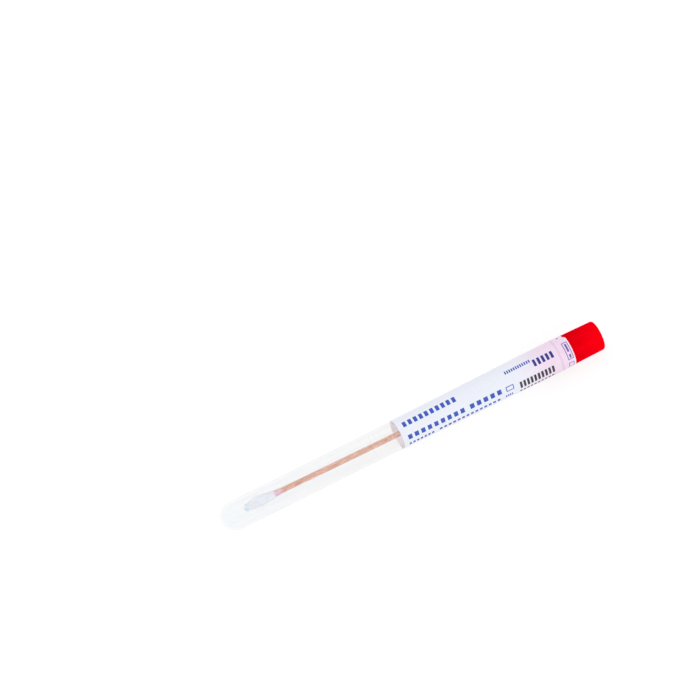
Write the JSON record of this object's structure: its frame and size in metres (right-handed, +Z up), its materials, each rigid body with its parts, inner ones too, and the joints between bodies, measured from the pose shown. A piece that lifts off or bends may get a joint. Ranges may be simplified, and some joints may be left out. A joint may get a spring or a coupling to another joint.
{
  "type": "specimen swab tube",
  "caption": "Round-bottomed clear tube with a ribbed push-in cap that carries a wooden swab, and a wrapped label that seals the cap.",
  "frame": {"origin": "centre of the bounding box at the height of its lowest point, where the lying tube touches the surface under it", "axes": "+X along the tube's axis towards the cap, +Z up from the surface the tube lies on, +Y to the far side"},
  "size_m": [0.1694, 0.0131, 0.0132],
  "materials": {
    "clear_plastic": "clear moulded polypropylene, smooth",
    "red_plastic": "moulded polyethylene, satin, fine ribs",
    "stick_wood": "plain birch dowel, unvarnished",
    "bud_fibre": "wound viscose fibre, matt",
    "label_film": "thin printed film, satin",
    "seal_film": "thin printed film over the red cap, satin",
    "blue_ink": "printed ink",
    "black_ink": "printed ink",
    "violet_ink": "printed ink"
  },
  "bodies": {
    "tube_body": {"tube": "clear_plastic", "label": "label_film", "blue_print": "blue_ink", "black_print": "black_ink"},
    "swab_body": {"cap": "red_plastic", "stick": "stick_wood", "bud": "bud_fibre", "seal_band": "seal_film", "seal_print": "violet_ink"}
  },
  "joints": [
    {"name": "cap_pull", "type": "slide", "parent": "tube_body", "child": "swab_body", "axis": [1, 0, 0], "range_m": [0, 0.145]}
  ]
}
